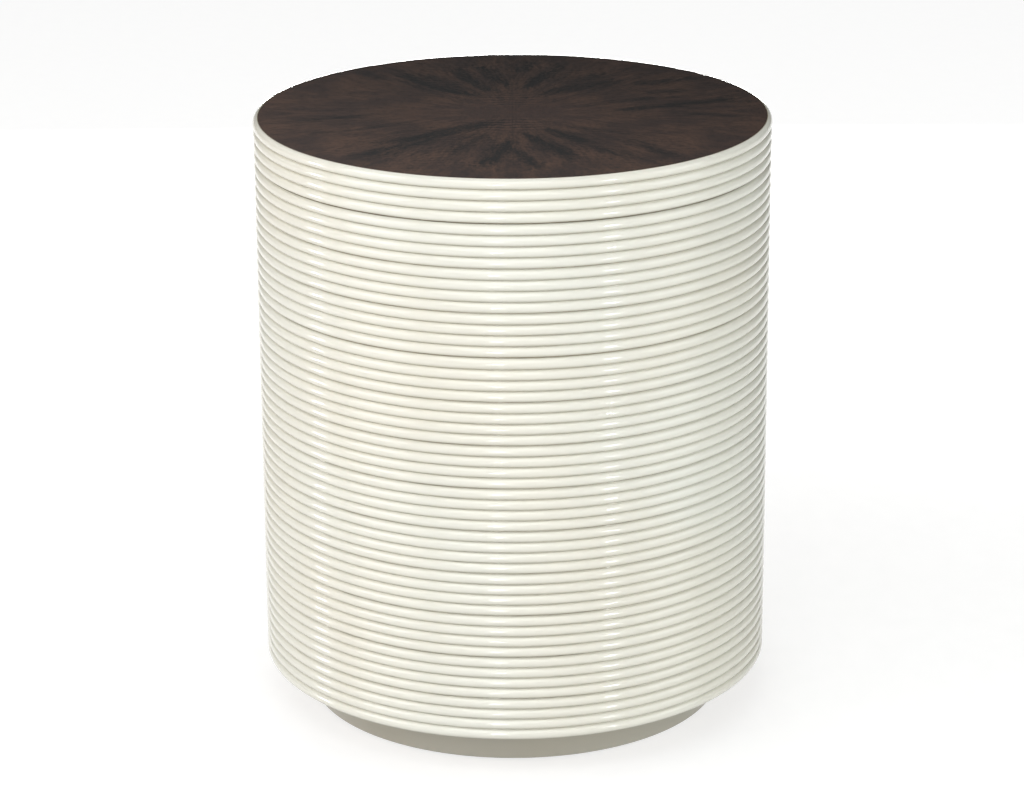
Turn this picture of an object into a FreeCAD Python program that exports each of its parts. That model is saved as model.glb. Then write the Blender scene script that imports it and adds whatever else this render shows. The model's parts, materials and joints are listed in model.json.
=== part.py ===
import FreeCAD, Part
import math
import os
from FreeCAD import Vector

# Drum side table: a drum clad in stacked reeded bands, a quarter-matched veneer top, a recessed
# plinth and four levelling glides. Millimetres, +Z up, origin on the floor under the middle of
# the drum, front at -Y.

# Reeding
DRUM_DIAMETER = 508.0
BAND_COUNT = 13
BEADS_PER_BAND = 4
BEAD_HEIGHT = 10.55
BEAD_DEPTH = 5.0
SEAM_LAND = 0.3
TALL_BEAD_BAND = 5
TALL_BEAD_EXTRA = 1.0
BAND_BACKING = 7.0

# Top
TOP_REVEAL = 0.5
VENEER_THICKNESS = 0.9
TOP_PANEL_THICKNESS = 22.0
BACKING_VENEER_THICKNESS = 0.6
BUILD_UP_WIDTH = 60.0

# Drum carcass
SKIN_THICKNESS = 5.0
FORMER_THICKNESS = 18.0
FORMER_WIDTH = 50.0
BOTTOM_PANEL_THICKNESS = 12.0
UPRIGHT_COUNT = 6
UPRIGHT_WIDTH = 45.0
UPRIGHT_DEPTH = 20.0
DOWEL_DIAMETER = 8.0
DOWEL_BITE = 14.0
DOWEL_CHAMFER = 0.8

# Plinth
PLINTH_SETBACK = 45.3
PLINTH_HEIGHT = 39.0
PLINTH_WALL = 18.0
PLINTH_EDGE_RADIUS = 1.5
BLOCK_WIDTH = 66.0
BLOCK_DEPTH = 55.0
BLOCK_SETBACK = 4.5
BLOCK_COUNT = 4

# Levelling glides
FLOOR_GAP = 2.0
GLIDE_INSET = 27.0
INSERT_BORE = 8.0
INSERT_DIAMETER = 12.0
INSERT_LENGTH = 16.0
INSERT_FLANGE_DIAMETER = 18.0
INSERT_FLANGE_THICKNESS = 1.5
STEM_HOLE_DIAMETER = 9.0
STEM_HEADROOM = 3.0
STEM_CHAMFER = 0.8
FOOT_DIAMETER = 28.0
FOOT_BOSS_DIAMETER = 16.0
FOOT_RIM_HEIGHT = 3.2
FOOT_EDGE = 1.0
FOOT_FLOOR = 2.0

# Screws
TOP_SCREW_DIAMETER = 4.8
TOP_SCREW_HEAD_DIAMETER = 9.6
TOP_SCREW_HEAD_HEIGHT = 3.0
TOP_SCREW_CROWN_DIAMETER = 6.6
TOP_SCREW_HOLE_DIAMETER = 6.5
TOP_SCREW_BITE = 14.0
PANEL_SCREW_DIAMETER = 4.0
PANEL_SCREW_HEAD_DIAMETER = 8.0
PANEL_SCREW_HEAD_HEIGHT = 2.4
PANEL_SCREW_BITE = 14.0
PANEL_SCREW_INSET = 11.0
PLINTH_SCREW_BITE = 9.0
PLINTH_SCREW_LENGTH = 28.0
PLINTH_SCREW_SPREAD = 23.0
SCREW_TIP_LENGTH = 4.0

# Clearances
GLUE_LINE = 0.2
FIT = 0.1
FOOT_CLEARANCE = 0.3

# Radii, from the crest of the beads inwards
CREST_RADIUS = DRUM_DIAMETER / 2
GROOVE_RADIUS = CREST_RADIUS - BEAD_DEPTH
BAND_INNER_RADIUS = GROOVE_RADIUS - BAND_BACKING
CORE_RADIUS = BAND_INNER_RADIUS - GLUE_LINE
INNER_SKIN_RADIUS = CORE_RADIUS - SKIN_THICKNESS - GLUE_LINE
CARCASS_RADIUS = INNER_SKIN_RADIUS - SKIN_THICKNESS
FORMER_RADIUS = CARCASS_RADIUS - GLUE_LINE
PLINTH_RADIUS = CREST_RADIUS - PLINTH_SETBACK
PLINTH_INNER_RADIUS = PLINTH_RADIUS - PLINTH_WALL
BLOCK_RADIUS = PLINTH_INNER_RADIUS - GLUE_LINE
GLIDE_RADIUS = PLINTH_INNER_RADIUS - GLIDE_INSET

# Heights, from the floor up
PLINTH_BOTTOM = FLOOR_GAP
DRUM_BOTTOM = PLINTH_BOTTOM + PLINTH_HEIGHT
BEADS_HEIGHT = BEADS_PER_BAND * BEAD_HEIGHT
BAND_HEIGHT = BEADS_HEIGHT + 2 * SEAM_LAND
DRUM_TOP = DRUM_BOTTOM + (BAND_COUNT - 1) * BAND_HEIGHT + TALL_BEAD_EXTRA
TOP_BOTTOM = DRUM_TOP + TOP_REVEAL
TABLE_HEIGHT = TOP_BOTTOM + SEAM_LAND + BEADS_HEIGHT
VENEER_BOTTOM = TABLE_HEIGHT - VENEER_THICKNESS
TOP_PANEL_BOTTOM = VENEER_BOTTOM - TOP_PANEL_THICKNESS
BACKING_BOTTOM = TOP_PANEL_BOTTOM - BACKING_VENEER_THICKNESS
TOP_FORMER_BOTTOM = TOP_BOTTOM - FORMER_THICKNESS
BOTTOM_FORMER_BOTTOM = DRUM_BOTTOM + BOTTOM_PANEL_THICKNESS
UPRIGHT_BOTTOM = BOTTOM_FORMER_BOTTOM + FORMER_THICKNESS
UPRIGHT_HEIGHT = TOP_FORMER_BOTTOM - UPRIGHT_BOTTOM
MIDDLE_FORMER_BOTTOM = UPRIGHT_BOTTOM + (UPRIGHT_HEIGHT - FORMER_THICKNESS) / 2
BLOCK_BOTTOM = PLINTH_BOTTOM + BLOCK_SETBACK
FOOT_HEIGHT = BLOCK_BOTTOM - FOOT_CLEARANCE
PLINTH_SCREW_BOTTOM = DRUM_BOTTOM + PLINTH_SCREW_BITE - PLINTH_SCREW_LENGTH

# Places round the drum
UP = Vector(0, 0, 1)
UPRIGHT_STEP = 360 / UPRIGHT_COUNT
UPRIGHT_FACE_RADIUS = math.sqrt((CARCASS_RADIUS - GLUE_LINE) ** 2 - (UPRIGHT_WIDTH / 2) ** 2)
DOWEL_RADIUS = UPRIGHT_FACE_RADIUS - UPRIGHT_DEPTH / 2
TOP_SCREW_RADIUS = FORMER_RADIUS - FORMER_WIDTH / 2
PANEL_SCREW_RADIUS = FORMER_RADIUS - PANEL_SCREW_INSET
UPRIGHT_ANGLES = [(k + 0.5) * UPRIGHT_STEP for k in range(UPRIGHT_COUNT)]
BAY_ANGLES = [k * UPRIGHT_STEP for k in range(UPRIGHT_COUNT)]
BLOCK_ANGLES = [(k + 0.5) * 360 / BLOCK_COUNT for k in range(BLOCK_COUNT)]


def disc(radius, thickness, bottom):
    """Flat disc on the drum's axis."""
    return Part.makeCylinder(radius, thickness, Vector(0, 0, bottom), UP)


def ring(outer, inner, thickness, bottom):
    """Flat ring on the drum's axis."""
    return disc(outer, thickness, bottom).cut(disc(inner, thickness, bottom))


def turned(edges):
    """Solid turned about the Z axis from a closed profile in the XZ plane."""
    profile = Part.Face(Part.Wire(edges))
    return profile.revolve(Vector(0, 0, 0), UP, 360)


def lines(points):
    """Straight profile edges through (radius, height) points."""
    corners = [Vector(radius, 0, height) for radius, height in points]
    return [Part.LineSegment(a, b).toShape() for a, b in zip(corners, corners[1:])]


def bead(bottom, height):
    """Half-round profile edge of one bead, from groove to groove."""
    start = Vector(GROOVE_RADIUS, 0, bottom)
    crest = Vector(CREST_RADIUS, 0, bottom + height / 2)
    end = Vector(GROOVE_RADIUS, 0, bottom + height)
    return Part.Arc(start, crest, end).toShape()


def placed(shape, angle, radius=0.0, height=0.0):
    """Copy of a shape moved out along X, lifted and then turned round the drum's axis."""
    copy = shape.copy()
    copy.translate(Vector(radius, 0, height))
    copy.rotate(Vector(0, 0, 0), UP, angle)
    return copy


def group(solids):
    """Separate solids kept as one node."""
    return Part.makeCompound(solids)


def bead_heights(extra):
    """Bead heights of one band from the bottom up; a tall band has its extra in the top bead."""
    return [BEAD_HEIGHT] * (BEADS_PER_BAND - 1) + [BEAD_HEIGHT + extra]


def bead_edges(bottom, heights):
    """Profile edges of a row of beads, from the bottom up, and the height where they end."""
    edges = []
    level = bottom
    for height in heights:
        edges.append(bead(level, height))
        level += height
    return edges, level


def drum_band(bottom, extra):
    """Reeded band of the drum, with a narrow flat land at each seam."""
    first = bottom + SEAM_LAND
    beads, last = bead_edges(first, bead_heights(extra))
    top = last + SEAM_LAND
    below = [(BAND_INNER_RADIUS, bottom), (GROOVE_RADIUS, bottom), (GROOVE_RADIUS, first)]
    above = [(GROOVE_RADIUS, last), (GROOVE_RADIUS, top), (BAND_INNER_RADIUS, top), below[0]]
    return turned(lines(below) + beads + lines(above))


def top_band():
    """Reeded edge of the top, rebated so that the veneer lies flush inside its first bead."""
    first = TOP_BOTTOM + SEAM_LAND
    beads, last = bead_edges(first, bead_heights(0.0))
    below = [(BAND_INNER_RADIUS, TOP_BOTTOM), (GROOVE_RADIUS, TOP_BOTTOM), (GROOVE_RADIUS, first)]
    rebate = [(GROOVE_RADIUS, last), (GROOVE_RADIUS, VENEER_BOTTOM), (BAND_INNER_RADIUS, VENEER_BOTTOM)]
    return turned(lines(below) + beads + lines(rebate + below[:1]))


def drum_bands():
    """The stacked bands under the top, numbered from the top of the table down."""
    bands = {}
    bottom = DRUM_BOTTOM
    for number in range(BAND_COUNT, 1, -1):
        extra = TALL_BEAD_EXTRA if number == TALL_BEAD_BAND else 0.0
        bands[f"reeded_band_{number:02d}"] = drum_band(bottom, extra)
        bottom += BAND_HEIGHT + extra
    return bands


def veneer_leaf(start_angle):
    """Quarter-round leaf of the matched veneer."""
    leaf = Part.makeCylinder(GROOVE_RADIUS - GLUE_LINE, VENEER_THICKNESS, Vector(0, 0, VENEER_BOTTOM), UP, 90)
    return placed(leaf, start_angle)


def pan_screw(grow=0.0):
    """Pan-head screw of the top, pointing up, with the underside of its head at height zero."""
    shank = TOP_SCREW_DIAMETER / 2 + grow
    head = TOP_SCREW_HEAD_DIAMETER / 2
    crown = TOP_SCREW_CROWN_DIAMETER / 2
    length = FORMER_THICKNESS + TOP_SCREW_BITE + grow
    outline = [(0, -TOP_SCREW_HEAD_HEIGHT), (crown, -TOP_SCREW_HEAD_HEIGHT),
               (head, -TOP_SCREW_HEAD_HEIGHT / 2), (head, 0), (shank, 0), (shank, length - SCREW_TIP_LENGTH),
               (0, length), (0, -TOP_SCREW_HEAD_HEIGHT)]
    return turned(lines(outline))


def countersunk_screw(length, grow=0.0):
    """Countersunk screw pointing up, with the flat of its head at height zero."""
    shank = PANEL_SCREW_DIAMETER / 2 + grow
    head = PANEL_SCREW_HEAD_DIAMETER / 2 + grow
    outline = [(0, 0), (head, 0), (shank, PANEL_SCREW_HEAD_HEIGHT),
               (shank, length + grow - SCREW_TIP_LENGTH), (0, length + grow), (0, 0)]
    return turned(lines(outline))


def upright():
    """Stud between the formers, standing against the inner skin on the X axis."""
    inner = UPRIGHT_FACE_RADIUS - UPRIGHT_DEPTH
    stud = Part.makeBox(UPRIGHT_DEPTH, UPRIGHT_WIDTH, UPRIGHT_HEIGHT,
                        Vector(inner, -UPRIGHT_WIDTH / 2, UPRIGHT_BOTTOM))
    socket = Part.makeCylinder(DOWEL_DIAMETER / 2 + FIT, DOWEL_BITE + FIT)
    low = placed(socket, 0, DOWEL_RADIUS, UPRIGHT_BOTTOM)
    high = placed(socket, 0, DOWEL_RADIUS, TOP_FORMER_BOTTOM - DOWEL_BITE - FIT)
    return stud.cut(low).cut(high)


def dowel():
    """Dowel with chamfered ends, standing on height zero."""
    length = FORMER_THICKNESS + DOWEL_BITE
    radius = DOWEL_DIAMETER / 2
    tip = radius - DOWEL_CHAMFER
    outline = [(0, 0), (tip, 0), (radius, DOWEL_CHAMFER), (radius, length - DOWEL_CHAMFER),
               (tip, length), (0, length), (0, 0)]
    return turned(lines(outline))


def upright_dowels():
    """One dowel at each end of every upright."""
    pins = []
    for angle in UPRIGHT_ANGLES:
        pins.append(placed(dowel(), angle, DOWEL_RADIUS, BOTTOM_FORMER_BOTTOM))
        pins.append(placed(dowel(), angle, DOWEL_RADIUS, TOP_FORMER_BOTTOM - DOWEL_BITE))
    return group(pins)


def drilled_former(bottom, holes):
    """Former ring with a hole for each dowel and whatever else passes through it."""
    former = ring(FORMER_RADIUS, FORMER_RADIUS - FORMER_WIDTH, FORMER_THICKNESS, bottom)
    dowel_hole = Part.makeCylinder(DOWEL_DIAMETER / 2 + FIT, FORMER_THICKNESS)
    for angle in UPRIGHT_ANGLES:
        former = former.cut(placed(dowel_hole, angle, DOWEL_RADIUS, bottom))
    for hole in holes:
        former = former.cut(hole)
    return former


def top_former():
    """Former under the top, with wide screw holes that let the top be centred."""
    hole = Part.makeCylinder(TOP_SCREW_HOLE_DIAMETER / 2, FORMER_THICKNESS)
    holes = [placed(hole, angle, TOP_SCREW_RADIUS, TOP_FORMER_BOTTOM) for angle in BAY_ANGLES]
    return drilled_former(TOP_FORMER_BOTTOM, holes)


def middle_former():
    """Former at half height, notched to let the uprights pass."""
    former = ring(FORMER_RADIUS, FORMER_RADIUS - FORMER_WIDTH, FORMER_THICKNESS, MIDDLE_FORMER_BOTTOM)
    inner = UPRIGHT_FACE_RADIUS - UPRIGHT_DEPTH - GLUE_LINE
    width = UPRIGHT_WIDTH + 2 * GLUE_LINE
    notch = Part.makeBox(CREST_RADIUS - inner, width, FORMER_THICKNESS, Vector(inner, -width / 2, 0))
    for angle in UPRIGHT_ANGLES:
        former = former.cut(placed(notch, angle, 0, MIDDLE_FORMER_BOTTOM))
    return former


def panel_screws(grow=0.0):
    """Screws that hold the bottom panel up to the bottom former, one in each bay."""
    screw = countersunk_screw(BOTTOM_PANEL_THICKNESS + PANEL_SCREW_BITE, grow)
    return [placed(screw, angle, PANEL_SCREW_RADIUS, DRUM_BOTTOM) for angle in BAY_ANGLES]


def top_screws(grow=0.0):
    """Screws from the top former up into the build-up ring, one in each bay."""
    return [placed(pan_screw(grow), angle, TOP_SCREW_RADIUS, TOP_FORMER_BOTTOM) for angle in BAY_ANGLES]


def beside_glide(shape, height):
    """Copies of a shape on both sides of the glide in the block on the X axis."""
    copies = []
    for side in (-PLINTH_SCREW_SPREAD, PLINTH_SCREW_SPREAD):
        copy = shape.copy()
        copy.translate(Vector(GLIDE_RADIUS, side, height))
        copies.append(copy)
    return copies


def block_screws(grow=0.0):
    """The two screws of the block on the X axis, up into the bottom panel."""
    return beside_glide(countersunk_screw(PLINTH_SCREW_LENGTH, grow), PLINTH_SCREW_BOTTOM)


def plinth_screws(grow=0.0):
    """Two screws for each plinth block."""
    return [placed(screw, angle) for angle in BLOCK_ANGLES for screw in block_screws(grow)]


def build_up_ring():
    """Ring that thickens the top at its edge and takes its screws."""
    body = ring(CORE_RADIUS, CORE_RADIUS - BUILD_UP_WIDTH, BACKING_BOTTOM - TOP_BOTTOM, TOP_BOTTOM)
    for hole in top_screws(FIT):
        body = body.cut(hole)
    return body


def bottom_panel():
    """Panel that closes the drum and carries the plinth."""
    panel = disc(FORMER_RADIUS, BOTTOM_PANEL_THICKNESS, DRUM_BOTTOM)
    for hole in panel_screws(FIT) + plinth_screws(FIT):
        panel = panel.cut(hole)
    return panel


def plinth_ring():
    """Recessed plinth with a rounded lower edge."""
    body = ring(PLINTH_RADIUS, PLINTH_INNER_RADIUS, PLINTH_HEIGHT, PLINTH_BOTTOM)
    lower = [edge for edge in body.Edges
             if abs(edge.BoundBox.ZMax - PLINTH_BOTTOM) < FIT
             and abs(edge.BoundBox.XMax - PLINTH_RADIUS) < FIT]
    return body.makeFillet(PLINTH_EDGE_RADIUS, lower)


def plinth_block():
    """Block behind the plinth on the X axis, bored for the glide's insert, stem and screws."""
    height = DRUM_BOTTOM - BLOCK_BOTTOM
    inner = BLOCK_RADIUS - BLOCK_DEPTH
    block = Part.makeBox(PLINTH_RADIUS - inner, BLOCK_WIDTH, height,
                         Vector(inner, -BLOCK_WIDTH / 2, BLOCK_BOTTOM))
    block = block.common(disc(BLOCK_RADIUS, height, BLOCK_BOTTOM))
    flange = Part.makeCylinder(INSERT_FLANGE_DIAMETER / 2 + FIT, INSERT_FLANGE_THICKNESS)
    barrel = Part.makeCylinder(INSERT_DIAMETER / 2 + FIT, INSERT_LENGTH + FIT)
    stem = Part.makeCylinder(STEM_HOLE_DIAMETER / 2, height)
    for bore in (flange, barrel, stem):
        block = block.cut(placed(bore, 0, GLIDE_RADIUS, BLOCK_BOTTOM))
    counterbore = Part.makeCylinder(PANEL_SCREW_HEAD_DIAMETER / 2 + FIT, PLINTH_SCREW_BOTTOM - BLOCK_BOTTOM)
    for hole in beside_glide(counterbore, BLOCK_BOTTOM) + block_screws(FIT):
        block = block.cut(hole)
    return block


def glide_insert():
    """Flanged threaded insert, pressed up into its block from below."""
    bore = INSERT_BORE / 2
    barrel = INSERT_DIAMETER / 2
    flange = INSERT_FLANGE_DIAMETER / 2
    outline = [(bore, 0), (flange, 0), (flange, INSERT_FLANGE_THICKNESS), (barrel, INSERT_FLANGE_THICKNESS),
               (barrel, INSERT_LENGTH), (bore, INSERT_LENGTH), (bore, 0)]
    return turned(lines(outline))


def glide_stem():
    """Threaded stem, standing in the foot's socket."""
    radius = INSERT_BORE / 2 - FIT
    tip = radius - STEM_CHAMFER
    top = DRUM_BOTTOM - STEM_HEADROOM
    outline = [(0, FOOT_FLOOR), (radius, FOOT_FLOOR), (radius, top - STEM_CHAMFER), (tip, top), (0, top),
               (0, FOOT_FLOOR)]
    return turned(lines(outline))


def glide_foot():
    """Round foot with an eased lower edge and a sloping boss that holds the stem."""
    rim = FOOT_DIAMETER / 2
    boss = FOOT_BOSS_DIAMETER / 2
    socket = INSERT_BORE / 2
    outline = [(0, 0), (rim - FOOT_EDGE, 0), (rim, FOOT_EDGE), (rim, FOOT_RIM_HEIGHT), (boss, FOOT_HEIGHT),
               (socket, FOOT_HEIGHT), (socket, FOOT_FLOOR), (0, FOOT_FLOOR), (0, 0)]
    return turned(lines(outline))


def bottom_former():
    """Former that the uprights stand on and the bottom panel is screwed to."""
    return drilled_former(BOTTOM_FORMER_BOTTOM, panel_screws(FIT))


def top_nodes():
    """Pieces of the top."""
    return {
        "veneer_leaf_back_right": veneer_leaf(0),
        "veneer_leaf_back_left": veneer_leaf(90),
        "veneer_leaf_front_left": veneer_leaf(180),
        "veneer_leaf_front_right": veneer_leaf(270),
        "top_panel": disc(CORE_RADIUS, TOP_PANEL_THICKNESS, TOP_PANEL_BOTTOM),
        "backing_veneer": disc(CORE_RADIUS, BACKING_VENEER_THICKNESS, BACKING_BOTTOM),
        "top_build_up_ring": build_up_ring(),
        "top_reeded_band": top_band(),
        "top_screws": group(top_screws()),
    }


def drum_nodes():
    """Pieces of the drum."""
    height = DRUM_TOP - DRUM_BOTTOM
    nodes = drum_bands()
    nodes["drum_skin_outer"] = ring(CORE_RADIUS, CORE_RADIUS - SKIN_THICKNESS, height, DRUM_BOTTOM)
    nodes["drum_skin_inner"] = ring(INNER_SKIN_RADIUS, CARCASS_RADIUS, height, DRUM_BOTTOM)
    nodes["top_former"] = top_former()
    nodes["middle_former"] = middle_former()
    nodes["bottom_former"] = bottom_former()
    for number, angle in enumerate(UPRIGHT_ANGLES, 1):
        nodes[f"upright_{number}"] = placed(upright(), angle)
    nodes["upright_dowels"] = upright_dowels()
    nodes["bottom_panel"] = bottom_panel()
    nodes["bottom_panel_screws"] = group(panel_screws())
    return nodes


def plinth_nodes():
    """Pieces of the plinth and its levelling glides."""
    nodes = {"plinth_ring": plinth_ring()}
    for number, angle in enumerate(BLOCK_ANGLES, 1):
        nodes[f"plinth_block_{number}"] = placed(plinth_block(), angle)
        nodes[f"glide_stem_{number}"] = placed(glide_stem(), angle, GLIDE_RADIUS)
        nodes[f"glide_foot_{number}"] = placed(glide_foot(), angle, GLIDE_RADIUS)
    inserts = [placed(glide_insert(), angle, GLIDE_RADIUS, BLOCK_BOTTOM) for angle in BLOCK_ANGLES]
    nodes["glide_inserts"] = group(inserts)
    nodes["plinth_screws"] = group(plinth_screws())
    return nodes


def main():
    """Build every node and write one file for each."""
    os.makedirs("parts", exist_ok=True)
    for nodes in (top_nodes(), drum_nodes(), plinth_nodes()):
        for name, shape in nodes.items():
            shape.exportStep(f"parts/{name}.step")


main()
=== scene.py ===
"""Looks of the drum side table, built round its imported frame.

Metres, +Z up, origin on the floor under the middle of the drum, front at -Y.
"""

import json
import logging
import math
from dataclasses import dataclass, field
from enum import Enum
from typing import Any, Sequence, Union

import bpy
from mathutils import Matrix, Vector


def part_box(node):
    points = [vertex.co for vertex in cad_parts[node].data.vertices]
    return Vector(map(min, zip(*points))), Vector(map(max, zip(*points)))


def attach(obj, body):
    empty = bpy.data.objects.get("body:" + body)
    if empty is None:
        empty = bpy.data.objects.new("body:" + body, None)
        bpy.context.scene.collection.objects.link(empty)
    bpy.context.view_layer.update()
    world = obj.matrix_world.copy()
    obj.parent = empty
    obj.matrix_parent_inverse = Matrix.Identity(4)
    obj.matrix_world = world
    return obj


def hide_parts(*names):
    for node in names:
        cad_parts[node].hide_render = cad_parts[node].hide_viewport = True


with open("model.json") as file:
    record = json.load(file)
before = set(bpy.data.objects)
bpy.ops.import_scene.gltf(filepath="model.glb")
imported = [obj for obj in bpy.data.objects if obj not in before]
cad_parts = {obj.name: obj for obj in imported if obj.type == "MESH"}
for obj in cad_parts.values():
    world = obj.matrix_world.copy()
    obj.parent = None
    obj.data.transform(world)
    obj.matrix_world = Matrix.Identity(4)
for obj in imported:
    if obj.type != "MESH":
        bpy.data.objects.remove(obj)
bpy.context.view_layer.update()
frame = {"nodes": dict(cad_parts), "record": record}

Colour = tuple[float, float, float]
Point = tuple[float, float]
Piece = bpy.types.Object
Material = bpy.types.Material
Socket = bpy.types.NodeSocket
Value = Union[Socket, float]
Tint = Union[Socket, Colour]
Inputs = dict[Union[str, int], Any]
NewPiece = tuple[Piece, Material, str, str, "Slot"]

MM = 0.001
MERGE = 0.001 * MM
WHITE: Colour = (1.0, 1.0, 1.0)
TABLE_BODY = "table"
FACING = "facing"
LOG = logging.getLogger("drum_side_table")


class Slot(Enum):
    """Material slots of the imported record."""

    CROTCH_VENEER = "crotch_veneer"
    CREAM_LACQUER = "cream_lacquer"
    FIBREBOARD = "fibreboard"
    BACKING_VENEER = "backing_veneer"
    PLYWOOD = "plywood"
    POPLAR = "poplar"
    NYLON = "nylon"
    ZINC_STEEL = "zinc_steel"


class Seam(Enum):
    """How the lacquer leaves the joint between two neighbouring bands."""

    FILLED = "lacquer runs across the joint"
    HAIRLINE = "the joint shows as a fine dark line"
    END = "the bead ends at the edge of the drum"
    TOP_EDGE = "the bead rolls over to the veneer"


class Figure(Enum):
    """Direction of the grain in a plain wood finish."""

    ALONG_X = (4.0, 90.0, 90.0)
    ALONG_Z = (90.0, 90.0, 3.0)


class Graph:
    """Node tree of one material or world, with short calls for the nodes that are used here."""

    def __init__(self, name: str, world: bool = False) -> None:
        """Start an empty node tree.

        Args:
            name: Name of the material or world.
            world: Whether it is a world.
        """
        self.owner = (bpy.data.worlds if world else bpy.data.materials).new(name)
        self.owner.use_nodes = True
        self.tree = self.owner.node_tree
        self.tree.nodes.clear()
        self.coordinates = self.node("ShaderNodeTexCoord").outputs["Generated" if world else "Object"]

    def node(self, kind: str, inputs: Union[Inputs, None] = None, **settings: Any) -> bpy.types.Node:
        """Add a node, set its properties and fill its inputs.

        Args:
            kind: Blender's name of the node type.
            inputs: Links or even values, by the inputs' names or numbers.
            settings: Properties of the node.

        Returns:
            The new node.
        """
        made = self.tree.nodes.new(kind)
        for key, setting in settings.items():
            setattr(made, key, setting)
        for key, value in (inputs or {}).items():
            self.feed(made.inputs[key], value)
        return made

    def feed(self, socket: Socket, value: Union[Value, Tint]) -> None:
        """Link a socket to an input, or set the input's own value."""
        if isinstance(value, bpy.types.NodeSocket):
            self.tree.links.new(value, socket)
        elif socket.type == "RGBA":
            socket.default_value = (*value, 1.0)
        else:
            socket.default_value = value

    def math(self, operation: str, *values: Value) -> Socket:
        """Result of a Math node on up to three values."""
        return self.node("ShaderNodeMath", dict(enumerate(values)), operation=operation).outputs[0]

    def times(self, *factors: Value) -> Socket:
        """Product of two values or more.

        Args:
            factors: The values.

        Returns:
            The product.
        """
        product = factors[0]
        for factor in factors[1:]:
            product = self.math("MULTIPLY", product, factor)
        return product

    def over(self, value: Value, level: float) -> Socket:
        """How far a value is over a level."""
        return self.math("SUBTRACT", value, level)

    def reach(self) -> Socket:
        """Distance from the Z axis."""
        x, y, _ = self.split(self.coordinates)
        return self.math("SQRT", self.math("ADD", self.times(x, x), self.times(y, y)))

    def spread(self, vector: Socket, scale: Sequence[float]) -> Socket:
        """Coordinates scaled along each axis."""
        return self.node("ShaderNodeMapping", {"Vector": vector, "Scale": scale}).outputs[0]

    def framed(self, vector: Socket, origin: Point, angle: float, length: float) -> Socket:
        """Coordinates in a frame of their own on the XY plane.

        Args:
            vector: Coordinates to change.
            origin: Where the frame starts, in millimetres.
            angle: Direction of its X axis, in radians.
            length: Length of its unit, in metres.

        Returns:
            The coordinates along and across the frame.
        """
        inputs = {"Vector": vector, "Location": (origin[0] * MM, origin[1] * MM, 0.0),
                  "Rotation": (0.0, 0.0, angle), "Scale": (length, length, length)}
        return self.node("ShaderNodeMapping", inputs, vector_type="TEXTURE").outputs[0]

    def split(self, vector: Socket) -> tuple[Socket, ...]:
        """The three parts of a vector."""
        return tuple(self.node("ShaderNodeSeparateXYZ", {0: vector}).outputs)

    def joined(self, *parts: Value) -> Socket:
        """A vector from its three parts."""
        return self.node("ShaderNodeCombineXYZ", dict(enumerate(parts))).outputs[0]

    def scaled(self, vector: Socket, factor: Value) -> Socket:
        """A vector or colour times a factor."""
        return self.node("ShaderNodeVectorMath", {0: vector, "Scale": factor}, operation="SCALE").outputs[0]

    def moved(self, vector: Socket, shift: Socket, amount: float) -> Socket:
        """Coordinates pushed by a noise colour, which is centred first.

        Args:
            vector: Coordinates to push.
            shift: The noise colour.
            amount: Distance at full strength.

        Returns:
            The pushed coordinates.
        """
        centred = self.node("ShaderNodeVectorMath", {0: shift, 1: (0.5, 0.5, 0.5)}, operation="SUBTRACT")
        inputs = {0: vector, 1: self.scaled(centred.outputs[0], amount)}
        return self.node("ShaderNodeVectorMath", inputs, operation="ADD").outputs[0]

    def noise(self, vector: Socket, scale: float, detail: float = 3.0, rough: float = 0.5,
              colour: bool = False) -> Socket:
        """Smooth noise from 0 to 1, or its colour.

        Args:
            vector: Coordinates that the noise reads.
            scale: Repeats in a metre.
            detail: Number of finer layers.
            rough: Weight of the finer layers.
            colour: Whether to give the three-part colour.

        Returns:
            The noise.
        """
        inputs = {"Vector": vector, "Scale": scale, "Detail": detail, "Roughness": rough}
        return self.node("ShaderNodeTexNoise", inputs).outputs["Color" if colour else "Fac"]

    def span(self, value: Value, low: Value, high: Value, start: Value = 0.0, end: Value = 1.0,
             smooth: bool = True) -> Socket:
        """Value mapped from one range to another and held at its ends.

        Args:
            value: Value to map.
            low: Value that gives start.
            high: Value that gives end.
            start: Result at low.
            end: Result at high.
            smooth: Whether the change eases in and out.

        Returns:
            The mapped value.
        """
        inputs = {"Value": value, "From Min": low, "From Max": high, "To Min": start, "To Max": end}
        easing = "SMOOTHSTEP" if smooth else "LINEAR"
        return self.node("ShaderNodeMapRange", inputs, interpolation_type=easing).outputs[0]

    def blend(self, factor: Value, first: Tint, second: Tint) -> Socket:
        """Two colours mixed by a factor."""
        return self.node("ShaderNodeMix", {0: factor, 6: first, 7: second}, data_type="RGBA").outputs[2]

    def bump(self, height: Socket, depth: float, below: Union[Socket, None] = None) -> Socket:
        """Normal of a relief.

        Args:
            height: Height of the relief, from 0 to 1.
            depth: Its depth in metres.
            below: Normal of a relief that it lies on.

        Returns:
            The normal.
        """
        inputs = {"Strength": 1.0, "Distance": depth, "Height": height}
        if below is not None:
            inputs["Normal"] = below
        return self.node("ShaderNodeBump", inputs).outputs[0]

    def surface(self, colour: Tint, rough: Value, normal: Socket, **sockets: float) -> Material:
        """Finish the material with a Principled shader.

        Args:
            colour: Base colour.
            rough: Roughness.
            normal: Relief.
            sockets: Even values of other sockets, with underscores for spaces.

        Returns:
            The finished material.
        """
        inputs = {"Base Color": colour, "Roughness": rough, "Normal": normal}
        inputs.update({key.replace("_", " "): value for key, value in sockets.items()})
        self.output("ShaderNodeOutputMaterial", self.node("ShaderNodeBsdfPrincipled", inputs))
        return self.owner

    def output(self, kind: str, shader: bpy.types.Node) -> None:
        """Link a shader to the tree's output."""
        self.node(kind, {"Surface": shader.outputs[0]})


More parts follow.
